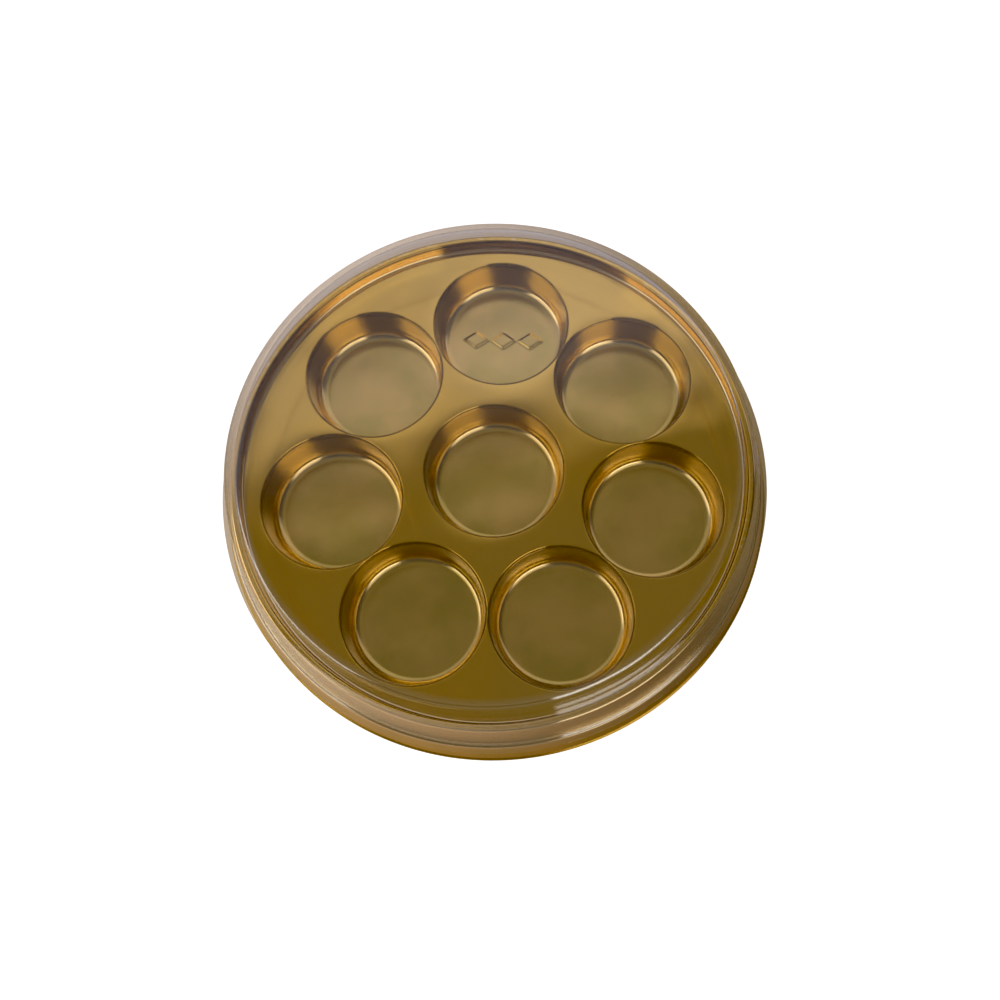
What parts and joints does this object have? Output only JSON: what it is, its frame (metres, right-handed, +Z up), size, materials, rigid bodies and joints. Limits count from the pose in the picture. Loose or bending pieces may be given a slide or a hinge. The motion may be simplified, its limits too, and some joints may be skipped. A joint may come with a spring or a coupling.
{
  "type": "offering plate",
  "caption": "Round gold formed-sheet plate with a ring of round wells about a middle one, a raised rim and a skirt, under a clear lift-off cover.",
  "frame": {"origin": "centre of the plate on the table, in the plane of the foot flange's underside", "axes": "+Z up out of the wells, +Y from the middle well to the ring well with the raised ornament, +X to the right of it"},
  "size_m": [0.2432, 0.2432, 0.0458],
  "materials": {
    "gold_sheet": "metallised gold, mirror-like on the deck and walls, satin on the well floors",
    "clear_sheet": "clear, glossy, faint grey"
  },
  "bodies": {
    "tray": {"tray": "gold_sheet"},
    "lid": {"lid": "clear_sheet"}
  },
  "joints": [
    {"name": "lid_lift", "type": "slide", "parent": "tray", "child": "lid", "axis": [0, 0, 1], "range_m": [0, 0.08]}
  ]
}
